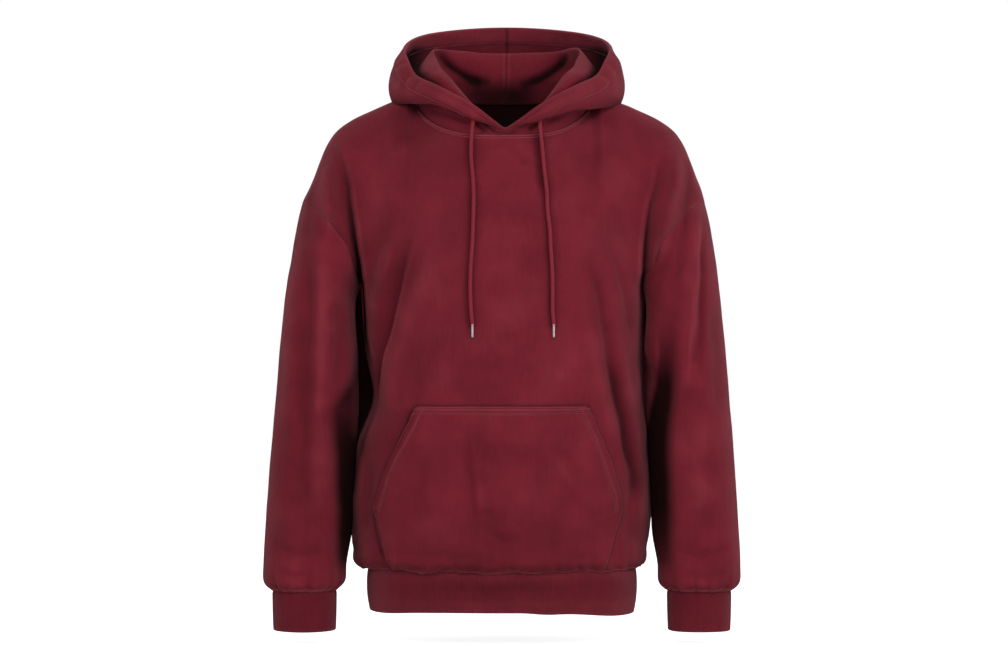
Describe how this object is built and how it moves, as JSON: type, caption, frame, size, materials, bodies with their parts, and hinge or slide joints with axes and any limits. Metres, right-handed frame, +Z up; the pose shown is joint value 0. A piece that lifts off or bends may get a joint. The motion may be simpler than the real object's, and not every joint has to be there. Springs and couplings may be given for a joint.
{
  "type": "pullover hoodie",
  "caption": "Hooded fleece pullover filled out as worn, hood lying back, with drop-shoulder sleeves, kangaroo pocket, ribbed cuffs and hem, and a drawcord.",
  "frame": {"origin": "middle of the neck opening, level with the high points of the shoulders, where a wearer or stand holds it", "axes": "+Z up along the body, the front faces -Y, +X is the wearer's left"},
  "size_m": [0.6451, 0.3419, 0.8372],
  "materials": {
    "burgundy_fleece": "matt brushed fleece, burgundy",
    "burgundy_rib": "matt ribbed knit, burgundy",
    "burgundy_cord": "matt round braid, burgundy",
    "metal_tip": "satin pale metal",
    "black_label": "matt woven tape, near black, bare"
  },
  "bodies": {
    "root": {"front_panel": "burgundy_fleece", "back_panel": "burgundy_fleece", "sleeve_left": "burgundy_fleece", "sleeve_right": "burgundy_fleece", "cuff_left": "burgundy_rib", "cuff_right": "burgundy_rib", "hem_band": "burgundy_rib", "hood_left": "burgundy_fleece", "hood_right": "burgundy_fleece", "pocket": "burgundy_fleece", "drawcord_left": "burgundy_cord", "drawcord_right": "burgundy_cord", "cord_tip_left": "metal_tip", "cord_tip_right": "metal_tip", "neck_label": "black_label"}
  },
  "joints": []
}
